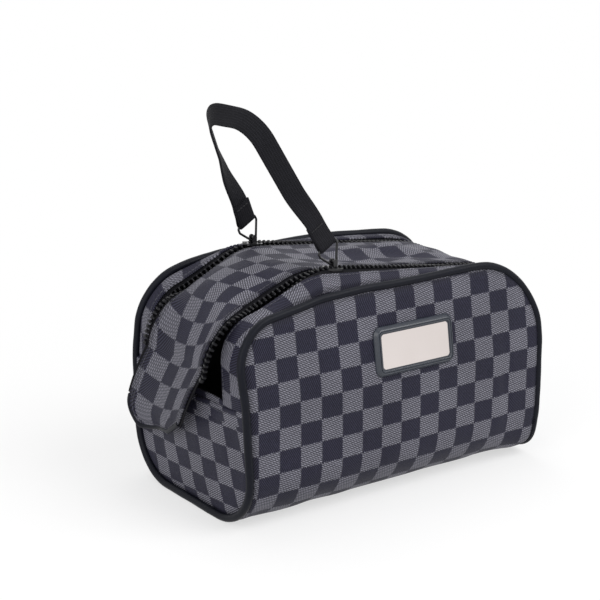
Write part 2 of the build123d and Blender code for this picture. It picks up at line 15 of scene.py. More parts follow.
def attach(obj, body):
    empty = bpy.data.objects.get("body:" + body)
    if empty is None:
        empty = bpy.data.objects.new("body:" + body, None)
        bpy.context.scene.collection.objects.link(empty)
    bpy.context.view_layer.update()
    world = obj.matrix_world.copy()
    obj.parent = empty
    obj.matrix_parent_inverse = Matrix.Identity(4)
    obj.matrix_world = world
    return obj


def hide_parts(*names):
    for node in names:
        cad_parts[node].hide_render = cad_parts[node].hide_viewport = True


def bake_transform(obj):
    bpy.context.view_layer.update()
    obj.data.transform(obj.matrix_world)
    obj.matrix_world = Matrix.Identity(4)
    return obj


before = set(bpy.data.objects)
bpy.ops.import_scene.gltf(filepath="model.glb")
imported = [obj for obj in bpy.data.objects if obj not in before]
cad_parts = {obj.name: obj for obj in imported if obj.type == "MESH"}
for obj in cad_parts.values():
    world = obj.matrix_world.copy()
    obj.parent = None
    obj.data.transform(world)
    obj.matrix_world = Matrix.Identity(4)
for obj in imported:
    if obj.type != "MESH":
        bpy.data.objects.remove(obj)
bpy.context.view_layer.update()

MM = 0.001

# Body, as in the CAD model
body_length = 282.0
body_depth = 158.0
bottom_radius = 44.0
bend_height = 100.0
top_inset = 11.0
crown_x = -66.0
wall_shoulder, wall_crown, wall_right = 152.0, 168.0, 166.0
zip_shoulder, zip_crown, zip_right = 150.0, 181.5, 158.0
left_radius, crown_radius, right_radius = 38.0, 60.0, 57.0
zip_y = 44.5
zip_band = 14.0
canvas = 1.8
foam = 2.0
lining_sheet = 0.6
hem_sheet = 0.8
facing_sheet = 1.0
layer_gap = 0.1
piping_radius = 3.0
piping_bend = 60.0
hem_height = 97.0
hem_depth = 12.0

# Zippers, lid and tongue
tape = 0.6
tape_hidden = 6.0
tape_face = 1.9
chain_depth = 2.2
chain_half = 1.6
tape_reach = 3.3            # from the canvas edge to the edge of the tape in the teeth
tooth_pitch = 4.2
fold_x = -76.0
flap_stand = 7.5
tongue_slant = radians(31.0)
tongue_start = 118.0
tongue_front_low, tongue_rear_low = 70.0, 60.0
tongue_tip = [(13.0, 56.0), (59.0, 46.0)]
tongue_radius = 11.0
flap_tape_end = 70.0
slider_front_x, slider_rear_x = -40.6, -54.0

# Strap and nameplate
slider_top = 3.45           # top of a slider's plate above the middle of the chain
pin_height = 4.4
strap_lean = radians(28.0)
strap_width = 16.0
strap_sheet = 1.8
bar_height = 15.0
eye_radius = 1.2
strap_top, strap_top_half = 126.5, 27.0
strap_tail = 18.0
frame_length, frame_height, frame_corner = 73.5, 37.5, 6.5
plate_x, plate_rise = 11.5, 19.0

# What these give
wall_line = (wall_shoulder, wall_crown, wall_right)
zip_line = (zip_shoulder, zip_crown, zip_right)
half_length = body_length / 2
half_depth = body_depth / 2
lean = atan(top_inset / (wall_crown - bend_height))
lid_edge = zip_y - zip_band / 2
strip_edge = zip_y + zip_band / 2
flap_half = half_length + flap_stand
wall_top_y = half_depth - top_inset
plate_height = bend_height + plate_rise

# Squares of the check
square_wide = 17.95
square_high = 17.0
wrap_corner = (-145.3, 156.2)   # a corner of the wrap's check, along the bag and along its flat cloth
end_corner = (-63.0, 78.46)     # a corner of an end panel's check, as (y, z)
end_column = (17.7, -1.28)      # from there to the next corners across and up: it is sewn in askew
end_row = (3.63, 15.12)

# Places in the cloth
wrap_margin = 1.6               # the wrap's canvas ends this far inside the walls' outline
foam_margin = 7.3
end_inset = 4.6
seam_shade_and_wear_reach = 6.0                # beyond this way from a seam the check gets no painted shade and wear
bag_middle = np.array([0.0, 0.0, 90.0])
wall_foot = 60.1                # on a wall, the way along the wrap from mid-bottom less the height there
strip_foot = 94.0               # the strips and the lid's right end go down to here
lid_columns = 31
stitch_lift = 0.05
open_drop = radians(68.0)       # the open part of a strip's tape hangs in by this much
open_run = 45.0                 # and takes this far from the slider to get there


def smooth(value):
    """A soft step from 0 to 1."""
    value = np.clip(value, 0.0, 1.0)
    return value * value * (3 - 2 * value)


def hump(value, middle, reach):
    """1 at the middle, falling softly to 0 at the reach on both sides."""
    return smooth(1 - np.abs(value - middle) / reach)


def unit(vectors):
    """Vectors of length 1, along the last axis."""
    return vectors / np.maximum(np.linalg.norm(vectors, axis=-1, keepdims=True), 1e-9)


def joined(*parts):
    """One array of points or cloth coordinates from its parts, each spread over the same grid."""
    return np.stack(np.broadcast_arrays(*parts), axis=-1)


def parted(points):
    """The parts of points, such as all x, all y and all z."""
    return np.moveaxis(np.asarray(points, float), -1, 0)


def rounded(points, radii, closed=False, turns=14):
    """Points along a path with rounded corners; radii has one value for each point."""
    points = [np.array(p, float) for p in points]
    path = []
    for k, corner in enumerate(points):
        ends = not closed and k in (0, len(points) - 1)
        if ends or radii[k] == 0:
            path.append(corner)
            continue
        back = unit(points[k - 1] - corner)
        ahead = unit(points[(k + 1) % len(points)] - corner)
        half = np.arccos(np.clip(back @ ahead, -1, 1)) / 2
        centre = corner + unit(back + ahead) * radii[k] / sin(half)
        first = corner + back * radii[k] / tan(half) - centre
        last = corner + ahead * radii[k] / tan(half) - centre
        sweep = pi - 2 * half
        for t in np.linspace(0, 1, turns + 1):
            path.append(centre + (first * sin((1 - t) * sweep) + last * sin(t * sweep)) / sin(sweep))
    return np.array(path)


class Path:
    """A line of points that is read by its length."""

    def __init__(self, points, closed=False):
        points = np.array(points, float)
        if closed:
            points = np.vstack([points, points[:1]])
        self.points = points
        steps = np.linalg.norm(np.diff(points, axis=0), axis=1)
        self.lengths = np.concatenate([[0.0], np.cumsum(steps)])
        self.length = self.lengths[-1]

    def at(self, length):
        return joined(*[np.interp(length, self.lengths, c) for c in self.points.T])

    def way(self, length, step=0.6):
        length = np.asarray(length, float)
        ahead = np.minimum(length + step, self.length)
        behind = np.maximum(length - step, 0)
        return unit(self.at(ahead) - self.at(behind))

    def spaced(self, step):
        """Points along the path about a step apart."""
        return self.at(np.linspace(0, self.length, max(2, ceil(self.length / step) + 1)))


def over_the_top(shoulder, crown, right, half=half_length, base=hem_height):
    """Corners of a path up the left end, over the top and down the right end."""
    left = crown - (crown - shoulder) / (crown_x + half_length) * (crown_x + half)
    return [(-half, base), (-half, left), (crown_x, crown), (half_length, right), (half_length, base)]


def parallel(points, depth):
    """The same path moved inwards by a depth, with mitred corners."""
    moved = []
    for k, (x, z) in enumerate(points):
        normals = []
        for a, b in ((k - 1, k), (k, k + 1)):
            if a >= 0 and b < len(points):
                dx = points[b][0] - points[a][0]
                dz = points[b][1] - points[a][1]
                normals.append((dz / hypot(dx, dz), -dx / hypot(dx, dz)))
        nx = sum(n[0] for n in normals)
        nz = sum(n[1] for n in normals)
        scale = depth * len(normals) / (nx * nx + nz * nz)
        moved.append((x + nx * scale, z + nz * scale))
    return moved


def corner_radii(depth=0.0):
    return [0, left_radius - depth, crown_radius - depth, right_radius - depth, 0]


def sagged(points):
    """Points of the soft top moved up or down, as the strap's pull and the open zippers leave it."""
    x, y, z = parted(points)
    rear, front = smooth(y / 36), smooth(-y / 36)
    wall = smooth((np.abs(y) - strip_edge) / 16)
    high = smooth((z - 98) / 40)
    rear_zip = -3.0 * hump(x, -116, 48)
    rear_wall = 6.0 * hump(x, -96, 66) + 4.5 * hump(x, 5, 90)
    front_wall = -3.5 * hump(x, -72, 56) - 2.0 * hump(x, 0, 80)
    move = rear * (rear_zip + wall * (rear_wall - rear_zip)) + front * wall * front_wall
    move = move - 2.5 * smooth((x - 70) / 60)
    return joined(x, y, z + move * high)


def settled(points):
    """Points of the soft body as it has settled: its left end stands askew, and its top is sagged."""
    x, y, z = parted(points)
    front = np.clip((half_depth - y) / body_depth, 0, 1)
    left = smooth((-72 - x) / 66) * front ** 1.4
    right = smooth((x - 80) / 61)
    moved_x = x + left * (3.5 + 5.5 * smooth((150 - z) / 150)) - right * 3.0
    full = right * hump(z, 18, 18) * smooth((np.abs(y) - 38) / 24)
    moved_z = np.maximum(z - 4.0 * full, min(3.0, z.min()))
    return sagged(joined(moved_x, y * (1 + 0.03 * full), moved_z))


def cloud(points, size, seed):
    """Soft noise from -1 to 1 at each point of a grid, with lumps about a size across."""
    flat = points.reshape(-1, points.shape[-1]) / size
    move = Vector((seed * 7.3, seed * 3.1, seed * 5.7))
    values = [noise.noise(Vector((*p, 0.0)[:3]) + move) for p in flat]
    return np.array(values).reshape(points.shape[:-1])


def edge_distance(points, outline):
    """Distance in the plane of each point from the nearest point of an outline."""
    flat = points.reshape(-1, 2)
    return np.min(np.linalg.norm(flat[:, None] - outline[None], axis=2), axis=1).reshape(points.shape[:-1])


def build(name, points, faces, weave=None, materials=(), face_material=None, sharp=45):
    """A mesh object from points in millimetres, with its cloth coordinates on its points."""
    mesh = bpy.data.meshes.new(name)
    mesh.from_pydata((np.asarray(points) * MM).tolist(), [], [list(f) for f in faces])
    for material in materials:
        mesh.materials.append(material)
    if face_material is not None:
        mesh.polygons.foreach_set("material_index", np.asarray(face_material, np.int32))
    if weave is not None:
        layer = mesh.attributes.new("weave", "FLOAT_VECTOR", "POINT")
        layer.data.foreach_set("vector", np.asarray(weave, np.float32).ravel())
    mesh.validate()
    mesh.shade_smooth()
    mesh.set_sharp_from_angle(angle=radians(sharp))
    obj = bpy.data.objects.new(name, mesh)
    bpy.context.scene.collection.objects.link(obj)
    return obj


def grid_normals(grid):
    """Normals of a grid of points, away from the middle of the bag."""
    normals = unit(np.cross(np.gradient(grid, axis=0), np.gradient(grid, axis=1)))
    outward = grid - bag_middle
    return normals if np.sum(normals * outward) > 0 else -normals


def quads(first, rows, columns):
    """The faces of a grid whose points are numbered from first."""
    at = first + np.arange(rows * columns).reshape(rows, columns)
    return np.stack([at[:-1, :-1], at[1:, :-1], at[1:, 1:], at[:-1, 1:]], axis=-1).reshape(-1, 4)


def ring_faces(rows, columns, closed=False):
    """The faces between rings of points, with both ends capped unless the rings close on themselves."""
    at = np.arange(rows * columns).reshape(rows, columns)
    faces = []
    for k in range(rows if closed else rows - 1):
        a, b = at[k], at[(k + 1) % rows]
        faces += [[a[j], a[(j + 1) % columns], b[(j + 1) % columns], b[j]] for j in range(columns)]
    if not closed:
        faces += [list(at[0][::-1]), list(at[-1])]
    return faces


def shell(name, face, depth, weave, materials, roll=0.35):
    """A closed sheet of cloth under a grid of points, with a rolled edge."""
    rows, columns = face.shape[:2]
    count = rows * columns
    normals = grid_normals(face)
    back = face - normals * depth
    at = np.arange(count).reshape(rows, columns)
    ring = np.concatenate([at[0, :], at[1:, -1], at[-1, -2::-1], at[-2:0:-1, 0]])
    inner = np.concatenate([at[1, :], at[1:, -2], at[-2, -2::-1], at[-2:0:-1, 1]])
    flat, under = face.reshape(-1, 3), back.reshape(-1, 3)
    out = unit(flat[ring] - flat[inner])
    middle = (flat[ring] + under[ring]) / 2 + out * depth * roll
    upper = quads(0, rows, columns)
    cross = np.cross(flat[upper[0, 1]] - flat[upper[0, 0]], flat[upper[0, 2]] - flat[upper[0, 0]])
    if cross @ normals.reshape(-1, 3)[0] < 0:
        upper = upper[:, ::-1]
    lower = upper[:, ::-1] + count
    here = np.arange(len(ring))
    there = np.roll(here, -1)
    rim_at = 2 * count
    top = np.stack([ring, ring[there], rim_at + there, rim_at + here], axis=1)
    low = np.stack([rim_at + here, rim_at + there, count + ring[there], count + ring], axis=1)
    rim = np.concatenate([top, low])
    along = {tuple(f[[k, (k + 1) % 4]]) for f in upper for k in range(4)}
    if (ring[0], ring[1]) in along:
        rim = rim[:, ::-1]
    points = np.concatenate([flat, under, middle])
    cloth = weave.reshape(-1, 3)
    cloth = np.concatenate([cloth, cloth, cloth[ring]])
    faces = np.concatenate([upper, lower, rim])
    inside = 1 if len(materials) > 1 else 0
    kinds = [0] * len(upper) + [inside] * len(lower) + [0] * len(rim)
    return build(name, points, faces, cloth, materials, kinds)


def tube(name, path, sides, radius, materials, closed=True, section=None):
    """A tube round a path of points. A section gives (across, up) points instead of a circle's."""
    points = np.asarray(path, float)
    ahead = np.roll(points, -1, axis=0)
    behind = np.roll(points, 1, axis=0)
    if not closed:
        ahead[-1], behind[0] = points[-1], points[0]
    ways = unit(ahead - behind)
    side = unit(np.cross(ways[0], (0.0, 0.0, 1.0) if abs(ways[0][2]) < 0.9 else (0.0, 1.0, 0.0)))
    sides_at = []
    for way in ways:
        side = unit(side - way * (side @ way))
        sides_at.append(side)
    across = np.array(sides_at)
    if closed:
        last = across[-1] - ways[0] * (across[-1] @ ways[0])
        drift = np.arctan2(np.cross(unit(last), across[0]) @ ways[0], unit(last) @ across[0])
        turn = np.linspace(0, drift, len(points))[:, None]
        across = across * np.cos(turn) + np.cross(ways, across) * np.sin(turn)
    up = np.cross(ways, across)
    angles = np.linspace(0, 2 * pi, sides, endpoint=False)
    radius = np.broadcast_to(np.asarray(radius, float), (len(points),))[:, None, None]
    ring = np.stack([np.cos(angles), np.sin(angles)], axis=1) if section is None else np.asarray(section)
    out = across[:, None] * ring[None, :, :1] + up[:, None] * ring[None, :, 1:]
    grid = points[:, None] + radius * out
    weave = joined(angles[None], Path(points).lengths[:, None], 0.0)
    faces = ring_faces(*grid.shape[:2], closed)
    return build(name, grid.reshape(-1, 3), faces, weave.reshape(-1, 3), materials)


class Edge:
    """Frames along the edge of a cloth grid: along it, across it away from the cloth, and out."""

    def __init__(self, edge, inner, upright=None):
        self.path = Path(edge)
        lengths = self.path.lengths
        along = self.path.way(lengths, 1.5)
        across = unit(edge - inner)
        across = unit(across - along * np.sum(across * along, axis=-1, keepdims=True))
        out = np.cross(along, across)
        reference = edge - bag_middle if upright is None else upright
        out = out * np.sign(np.sum(out * reference))
        self.lengths = lengths
        self.axes = [along, across, out]
        self.length = self.path.length

    def at(self, length):
        """Origin and axes at lengths along the edge."""
        origin = self.path.at(length)
        axes = [joined(*[np.interp(length, self.lengths, c) for c in a.T]) for a in self.axes]
        return origin, [unit(a) for a in axes]


def swing(axes, angle):
    """The axes turned about the edge, so that what lies across it drops into the bag."""
    along, across, out = axes
    angle = np.asarray(angle)[..., None]
    turned_across = across * np.cos(angle) - out * np.sin(angle)
    turned_out = out * np.cos(angle) + across * np.sin(angle)
    return [along, turned_across, turned_out]


def scatter(name, edge, lengths, template, materials, angles=None, sharp=45):
    """Copies of a small solid, one at each length along an edge, in the edge's axes."""
    points, faces = template
    points = np.asarray(points, float)
    origin, axes = edge.at(lengths)
    if angles is not None:
        axes = swing(axes, angles)
    world = origin[:, None]
    for k in range(3):
        world = world + axes[k][:, None] * points[None, :, k : k + 1]
    every = []
    for k in range(len(lengths)):
        every += [[v + k * len(points) for v in f] for f in faces]
    weave = np.broadcast_to(points[None], world.shape).reshape(-1, 3)
    return build(name, world.reshape(-1, 3), every, weave, materials, sharp=sharp)


def loft_rings(rings, closed=False):
    """The points and faces of a solid through rings of points with equal counts."""
    return [p for ring in rings for p in ring], ring_faces(len(rings), len(rings[0]), closed)


# Materials


def linear(*rgb):
    """An sRGB colour, 0 to 255, as the linear colour that the shader takes."""
    parts = [c / 255 for c in rgb]
    return tuple(p / 12.92 if p <= 0.04045 else ((p + 0.055) / 1.055) ** 2.4 for p in parts) + (1.0,)


class Wire:
    """The output of a shader node, which adds, subtracts and multiplies as a number does."""

    def __init__(self, finish, socket):
        self.finish = finish
        self.socket = socket

    def __add__(self, other):
        return self.finish.math("ADD", self, other)

    def __sub__(self, other):
        return self.finish.math("SUBTRACT", self, other)

    def __mul__(self, other):
        return self.finish.math("MULTIPLY", self, other)

    def floor(self):
        return self.finish.math("FLOOR", self)

    def wave(self):
        """A triangle wave from 0 to 1 and back once for each step of 1."""
        return self.finish.math("PINGPONG", self * 2.0, 1.0)


class Finish:
    """A material and short calls that add its nodes."""

    def __init__(self, name, roughness=0.5, metallic=0.0, specular=0.5):
        self.material = bpy.data.materials.new(name)
        self.material.use_nodes = True
        self.tree = self.material.node_tree
        self.shader = self.tree.nodes["Principled BSDF"]
        self.shader.inputs["Roughness"].default_value = roughness
        self.shader.inputs["Metallic"].default_value = metallic
        self.shader.inputs["Specular IOR Level"].default_value = specular

    def node(self, kind, **settings):
        made = self.tree.nodes.new(kind)
        for key, value in settings.items():
            setattr(made, key, value)
        return made

    def feed(self, socket, value):
        """Links a wire or an output to a socket, or sets the socket to a value."""
        if isinstance(value, Wire):
            value = value.socket
        if isinstance(value, bpy.types.NodeSocket):
            self.tree.links.new(value, socket)
        else:
            socket.default_value = value

    def math(self, operation, *values):
        made = self.node("ShaderNodeMath", operation=operation)
        for socket, value in zip(made.inputs, values):
            self.feed(socket, value)
        return Wire(self, made.outputs[0])

    def mix(self, share, first, second, data_type="RGBA", blend_type="MIX"):
        made = self.node("ShaderNodeMix", data_type=data_type, blend_type=blend_type)
        for name, value in (("Factor", share), ("A", first), ("B", second)):
            self.feed(made.inputs[name], value)
        return Wire(self, made.outputs["Result"])

    def weave(self):
        """The cloth coordinates of the point."""
        given = self.node("ShaderNodeAttribute", attribute_name="weave")
        parts = self.node("ShaderNodeSeparateXYZ")
        self.feed(parts.inputs[0], given.outputs["Vector"])
        return [Wire(self, socket) for socket in parts.outputs]

    def noise(self, scale, detail=3.0, roughness=0.5, stretch=(1, 1, 1)):
        where = self.node("ShaderNodeTexCoord")
        place = self.node("ShaderNodeMapping")
        made = self.node("ShaderNodeTexNoise")
        place.inputs["Scale"].default_value = stretch
        for name, value in (("Scale", scale), ("Detail", detail), ("Roughness", roughness)):
            made.inputs[name].default_value = value
        self.feed(place.inputs["Vector"], where.outputs["Object"])
        self.feed(made.inputs["Vector"], place.outputs["Vector"])
        return Wire(self, made.outputs["Fac"])

    def colour(self, value):
        self.feed(self.shader.inputs["Base Color"], value)

    def rough(self, value):
        self.feed(self.shader.inputs["Roughness"], value)

    def bump(self, height, distance, strength=1.0):
        """A relief of a distance in millimetres."""
        made = self.node("ShaderNodeBump")
        made.inputs["Strength"].default_value = strength
        made.inputs["Distance"].default_value = distance * MM
        self.feed(made.inputs["Height"], height)
        self.feed(self.shader.inputs["Normal"], made.outputs["Normal"])


def check_canvas():
    """Coated canvas in a plain two-tone check, whose squares take their dark or light from the weave."""
    f = Finish("check_canvas", specular=0.12)
    u, v, edge = f.weave()
    strokes = u * 6.0 + v * 10.0 + (f.noise(420.0, 2.0) - 0.5) * 0.4
    broken = (u * 5.0 - v * 2.0 + strokes.floor() * 0.5).wave()
    ribs = (u * 10.0 - v * 6.0).wave()
    columns = (u + ((v * 10.0).wave() - 0.5) * 0.06).floor()
    rows = (v + ((u * 10.0).wave() - 0.5) * 0.06).floor()
    dark = f.math("FLOORED_MODULO", columns + rows, 2.0)
    threads = f.noise(1100.0, 2.0, 0.6)
    raised = strokes.wave() * (broken * 0.6 + 0.4)
    lit = f.math("SMOOTH_MIN", raised * (threads + 0.5), 1.0, 0.2)
    light_thread = f.mix(lit, linear(24, 24, 31), linear(148, 147, 159))
    dark_thread = f.mix(ribs * (threads + 0.2), linear(5, 5, 12), linear(62, 61, 80))
    worn = f.noise(14.0, 4.0, 0.55) * 0.5 + 0.75
    # Painted shade, with some wear: the check is darkened to 0.6 at a seam and brightens to its plain colour
    # about 5 mm away, where the cloth dips under the piping or meets the zipper.
    seam = f.math("SMOOTH_MIN", edge * 0.2, 1.0, 0.3) * 0.4 + 0.6
    plain = f.mix(dark, light_thread, dark_thread)
    f.colour(f.mix(1.0, plain, worn * seam, blend_type="MULTIPLY"))
    f.rough(threads * 0.2 + 0.42)
    relief = f.mix(dark, raised, ribs * 0.7, data_type="FLOAT")
    f.bump(relief + threads * 0.4, 0.2)
    return f.material


def cloth(name, low, high, ribs_across, ribs_along, roughness, bump, sheen=0.0):
    """Plain woven cloth; the weave is in millimetres."""
    f = Finish(name, roughness=roughness, specular=0.12)
    f.shader.inputs["Sheen Weight"].default_value = sheen
    u, v, _ = f.weave()
    across = (u * ribs_across).wave()
    along = (v * ribs_along).wave()
    fuzz = f.noise(600.0, 3.0)
    f.colour(f.mix(across * along * 0.6 + fuzz * 0.4, linear(*low), linear(*high)))
    f.bump(f.math("MAXIMUM", across, along) + fuzz, bump)
    return f.material


def moulded(name, low, high, roughness, grain, bump, metallic=0.0, specular=0.5, coat=0.0):
    """Plastic, leatherette, thread or painted metal with a fine grain and a little wear."""
    f = Finish(name, metallic=metallic, specular=specular)
    f.shader.inputs["Coat Weight"].default_value = coat
    f.shader.inputs["Coat Roughness"].default_value = 0.25
    fine = f.noise(grain, 4.0, 0.6)
    broad = f.noise(40.0, 3.0)
    f.colour(f.mix((fine + broad) * 0.5, linear(*low), linear(*high)))
    f.rough(broad * 0.24 + (roughness - 0.12))
    f.bump(fine, bump)
    return f.material


def satin_plate():
    """Brushed plate: fine lines along its length."""
    f = Finish("satin_plate", metallic=1.0)
    lines = f.noise(500.0, 3.0, 0.6, stretch=(0.02, 1.0, 1.0))
    f.colour(f.mix(f.noise(18.0, 2.0), linear(212, 203, 199), linear(230, 222, 219)))
    f.rough(lines * 0.10 + 0.26)
    f.bump(lines, 0.02, 0.35)
    return f.material


check = check_canvas()
canvas_back = cloth("canvas_back", (34, 34, 38), (58, 58, 64), 1.1, 1.1, 0.85, 0.1)
lining_cloth = cloth("lining_cloth", (20, 20, 24), (42, 42, 48), 1.6, 1.6, 0.7, 0.06, 0.2)
tape_cloth = cloth("tape_cloth", (8, 8, 11), (24, 24, 29), 1.5, 0.9, 0.8, 0.1)
webbing = cloth("webbing", (7, 7, 9), (40, 40, 46), 0.55, 0.8, 0.7, 0.25)
foam_pad = moulded("foam_pad", (60, 60, 62), (92, 92, 94), 0.9, 700.0, 0.3, specular=0.2)
piping_skin = moulded("piping_skin", (8, 9, 15), (23, 25, 34), 0.45, 260.0, 0.05, specular=0.12)
tooth_skin = moulded("tooth_plastic", (7, 7, 10), (20, 20, 25), 0.36, 400.0, 0.02, specular=0.2)
thread = moulded("thread", (40, 40, 48), (78, 78, 88), 0.6, 2400.0, 0.05)
dark_thread = moulded("dark_thread", (8, 8, 10), (20, 20, 24), 0.6, 2400.0, 0.05)
black_metal = moulded("black_metal", (10, 10, 12), (26, 26, 30), 0.3, 300.0, 0.01, 0.4, 0.5, 0.4)
frame_paint = moulded("frame_paint", (30, 35, 44), (46, 52, 63), 0.38, 500.0, 0.02, coat=0.2)
backing_metal = moulded("backing_metal", (120, 120, 124), (160, 160, 164), 0.4, 300.0, 0.02, 0.9)
plate_metal = satin_plate()
coated = [check, canvas_back]


# Wrap, foam and lining walls


def wall_profile(inset):
    """Half of the body's outline across its length, from the middle of the bottom up a wall."""
    top = zip_crown + 30
    bend = bend_height - inset * tan(lean / 2)
    corners = [
        (0, inset),
        (half_depth - inset, inset),
        (half_depth - inset, bend),
        (half_depth - inset - (top - bend) * tan(lean), top),
    ]
    return Path(rounded(corners, [0, bottom_radius - inset, 120.0, 0]))


def wall_top(margin):
    """The top edge of a wall, from the end of one upright side to the other, as (x, z)."""
    corners = parallel(over_the_top(*wall_line, base=0), margin)
    return rounded(corners, corner_radii(margin))[1:-1]


def wall_grid(inset, margin, step, rows):
    """A wrap over both walls and the bottom: its points, their place in the flat cloth before the bag
    settled, how far its top edge is along the cloth, and their place in the flat cloth afterwards."""
    top = Path(wall_top(margin))
    columns = []
    for a, b in zip(top.points[:-1], top.points[1:]):
        parts = max(1, ceil(np.linalg.norm(b - a) / step))
        columns += [a + (b - a) * k / parts for k in range(parts)]
    columns = np.array(columns + [top.points[-1]])
    profile = wall_profile(inset)
    reach = np.interp(columns[:, 1], profile.points[:, 1], profile.lengths)
    levels = np.linspace(1, -1, rows)
    flat = levels[:, None] * reach[None, :]
    y, z = parted(profile.at(np.abs(flat)))
    x = columns[None, :, 0]
    grid = settled(joined(x, -np.sign(flat) * y, z))
    shifted = flat + np.sign(flat) * (grid[..., 2] - z)
    return grid, joined(x, flat), reach, joined(grid[..., 0], shifted)


def wrap_folds(x, w):
    """How far the wrap's cloth stands in or out, in millimetres, at a place in the flat cloth."""
    q = np.abs(w) - wall_foot
    calm = 1 - hump(x, plate_x, 60) * hump(q, plate_height, 44) * (w > 0)
    place = joined(x, w * 0.5)
    swell = 1.3 * hump(x, 0, half_length) * hump(q, 60, 80)
    soft = 0.9 * cloud(place, 46.0, 1) + 0.35 * cloud(place, 17.0, 2)
    crease = -1.1 * hump(x + 0.06 * (q - 80), 104, 9) * hump(q, 75, 70)
    crease += 0.7 * hump(x + 0.06 * (q - 80), 92, 12) * hump(q, 75, 70)
    low = 0.8 * np.sin(x / 9.0 + 0.6 * np.sin(x / 31.0)) * hump(q, 2, 26) * smooth((np.abs(x) - 20) / 80)
    return calm * (swell + soft + crease + low)


def make_wrap():
    grid, flat, reach, placed = wall_grid(0.0, wrap_margin, 3.0, 170)
    x, w = parted(flat)
    low = np.arange(0, reach[0], 2.0)
    ends = [joined(side * (half_length - wrap_margin), low) for side in (-1, 1)]
    edge = edge_distance(joined(x, np.abs(w)), np.vstack([joined(x[0], reach), *ends]))
    normals = grid_normals(grid)
    sunk = 1.7 * (1 - smooth(edge / 5.5)) ** 1.3
    free = smooth((edge - 2) / 14)
    floor = smooth((grid[..., 2] - 1.0) / 6)
    grid = grid + normals * ((wrap_folds(x, w) * free * floor) - sunk)[..., None]
    grid[..., 2] = np.maximum(grid[..., 2], 0.15)
    squares = (placed - wrap_corner) / (square_wide, square_high)
    weave = joined(*parted(squares), edge)
    wrap = shell("wrap_canvas", grid, canvas, weave, coated)
    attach(wrap, "bag")
    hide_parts("body_wrap")


def make_lining():
    grid, flat, _, _ = wall_grid(canvas + layer_gap, foam_margin, 6.0, 90)
    pad = shell("foam_pad", grid, foam, joined(*parted(flat), 0.0), [foam_pad])
    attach(pad, "bag")
    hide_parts("foam_interlining")
    inset = canvas + foam + 2 * layer_gap
    grid, flat, _, _ = wall_grid(inset, canvas + 1.2, 6.0, 90)
    normals = grid_normals(grid)
    x, w = parted(flat)
    high = smooth((np.abs(w) - 100) / 30)
    crumple = (0.9 * cloud(flat, 30.0, 5) - 0.4) * smooth((half_length - np.abs(x)) / 20) * high
    grid = grid + normals * np.minimum(crumple, 0)[..., None]
    sheet = shell("lining_walls", grid, lining_sheet, joined(x, w, 0.0), [lining_cloth])
    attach(sheet, "bag")
    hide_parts("lining")
    for side, word in ((-1, "left"), (1, "right")):
        face = end_grid(inset, hem_height - 5, half_length - 3.4)[0]
        face[..., 0] *= side
        face = settled(face)
        weave = joined(face[..., 1], face[..., 2], 0.0)
        end = shell(f"lining_end_{word}", face, lining_sheet, weave, [lining_cloth])
        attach(end, "bag")


# End panels and hems


def end_grid(inset, top, x, rows=44, columns=56):
    """Points of a panel across an end of the bag, and their distance from its sewn edge."""
    profile = wall_profile(inset)
    start = np.interp(inset + 0.01, profile.points[:, 1], profile.lengths)
    last = np.interp(top, profile.points[:, 1], profile.lengths)
    half = profile.at(np.linspace(start, last, rows))
    across = np.linspace(-1, 1, columns)
    y = half[:, :1] * across[None]
    outline = profile.at(np.linspace(0, last, 160))
    outline = np.vstack([outline, outline * [-1, 1]])
    face = joined(x, y, half[:, 1:])
    return face, edge_distance(face[..., 1:], outline)


def end_check(y, z):
    """The columns and rows of an end panel's check at places of the panel."""
    across, up = y - end_corner[0], z - end_corner[1]
    turn = end_column[0] * end_row[1] - end_column[1] * end_row[0]
    columns = (end_row[1] * across - end_row[0] * up) / turn
    rows = (end_column[0] * up - end_column[1] * across) / turn
    return columns, rows


def end_folds(y, z):
    """How far an end panel stands out, in millimetres."""
    place = joined(y, z)
    swell = 2.2 * hump(y, 0, 76) * hump(z, 48, 60)
    pull = 0.9 * np.sin((y + 0.7 * z) / 7.5) * hump(z, 84, 34) * hump(y, -28, 44)
    return swell + pull + 1.1 * cloud(place, 27.0, 8) + 0.35 * cloud(place, 11.0, 9)


def make_ends():
    for side, word in ((-1, "left"), (1, "right")):
        face, edge = end_grid(end_inset, hem_height - 1.2, -half_length)
        y, z = face[..., 1], face[..., 2]
        free = smooth((edge - 1) / 16)
        sunk = 1.3 * (1 - smooth(edge / 5))
        face[..., 0] -= end_folds(y, z) * free - sunk
        columns, rows = end_check(y, z)
        weave = joined(columns + (side > 0), rows, edge)
        face[..., 0] *= -side
        face = settled(face)
        panel = shell(f"end_canvas_{word}", face, canvas, weave, coated)
        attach(panel, "bag")
        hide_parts(f"end_panel_{word}")
        make_hem(side, word)


def make_hem(side, word):
    """The folded strip over an end panel's top edge, with its seam."""
    reach = half_depth - 5.6
    across = np.linspace(-reach, reach, 70)
    outer, inner, low = -1.5, 2.9, hem_height - hem_depth
    corners = [(outer, low), (outer, hem_height), (inner, hem_height), (inner, low)]
    section = Path(rounded(corners, [0, 1.6, 1.6, 0], turns=6)).spaced(0.9)
    x0, z0 = section[:, :1], section[:, 1:]
    dip = 6.5 * hump(across, -10, 84) + 0.7 * np.sin(across / 13.0)
    z = z0 - dip[None] * smooth((z0 - 70) / 20)
    y = np.broadcast_to(across[None], z.shape)
    free = smooth((half_depth - 6 - np.abs(y)) / 16)
    x = -half_length + x0 - end_folds(y, z) * free
    face = settled(joined(-side * x, y, z))
    columns, rows = end_check(y, z)
    weave = joined(columns + 0.35, rows + 0.2, seam_shade_and_wear_reach)
    hem = shell(f"hem_{word}", face[::-1], hem_sheet, weave[::-1], [check])
    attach(hem, "bag")
    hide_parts(f"end_hem_{word}")
    line = int(np.argmin(np.abs(section[: len(section) // 2, 1] - (hem_height - 3.8))))
    seam = Edge(face[line], face[line - 1])
    sew(f"hem_seam_{word}", seam, 4, seam.length - 4, 0.0, "bag")


